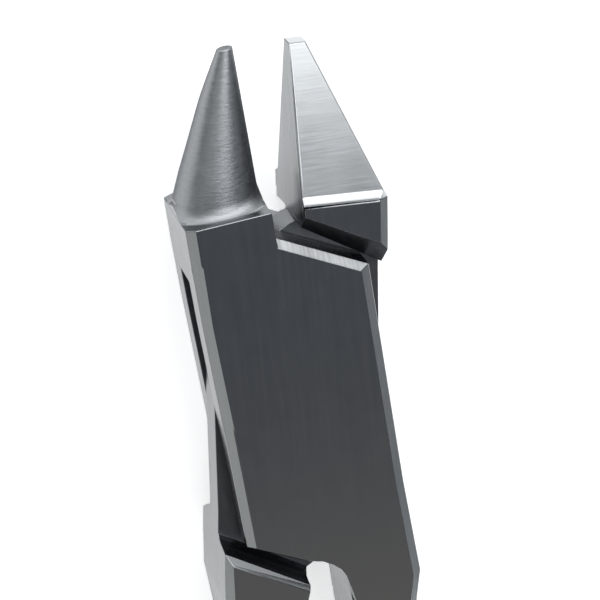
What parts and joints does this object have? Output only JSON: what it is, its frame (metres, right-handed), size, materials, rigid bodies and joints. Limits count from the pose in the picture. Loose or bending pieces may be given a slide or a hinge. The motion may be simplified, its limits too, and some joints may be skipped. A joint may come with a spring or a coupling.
{
  "type": "box-joint beak pliers",
  "caption": "Small box-joint pliers with a round beak and a pyramid beak, a slotted joint, sprung handles and sleeve grips.",
  "frame": {"origin": "on the joint axis at the back face, which is the flush end of the joint pin", "axes": "+Z out of the front face, through the thickness; +Y towards the beak tips, along the line midway between the two open halves; the cone beak is on the -X side"},
  "size_m": [0.0462, 0.1268, 0.0104],
  "materials": {
    "satin_steel": "stainless tool steel, satin ground faces, circular grinding marks on the round beak",
    "pin_steel": "ground flush pin end",
    "spring_steel": "tempered spring strip, rolled finish",
    "rivet_steel": "turned rivet, light polish",
    "grip_vinyl": "dipped vinyl, soft satin"
  },
  "bodies": {
    "cone_body": {"cone_half": "satin_steel", "joint_pin": "pin_steel", "right_spring_rivet": "rivet_steel", "right_grip": "grip_vinyl"},
    "pyramid_body": {"pyramid_half": "satin_steel", "left_spring_rivet": "rivet_steel", "left_grip": "grip_vinyl"},
    "right_spring_body": {"right_leaf_spring": "spring_steel"},
    "left_spring_body": {"left_leaf_spring": "spring_steel"}
  },
  "joints": [
    {"name": "box_joint", "type": "hinge", "parent": "cone_body", "child": "pyramid_body", "pos_m": [0, 0, 0.0045], "axis": [0, 0, -1], "range_deg": [-8, 8], "stiffness_Nm_per_rad": 0.25, "springref_deg": 8},
    {"name": "right_spring_flex", "type": "hinge", "parent": "cone_body", "child": "right_spring_body", "pos_m": [0.0053, -0.03363, 0.0045], "axis": [0, 0, -1], "range_deg": [-7.8, 7.8]},
    {"name": "left_spring_flex", "type": "hinge", "parent": "pyramid_body", "child": "left_spring_body", "pos_m": [-0.0053, -0.03363, 0.0045], "axis": [0, 0, 1], "range_deg": [-7.8, 7.8]}
  ],
  "couplings": [
    {"joint": "right_spring_flex", "follows": "box_joint", "ratio": 0.974},
    {"joint": "left_spring_flex", "follows": "box_joint", "ratio": 0.974}
  ]
}
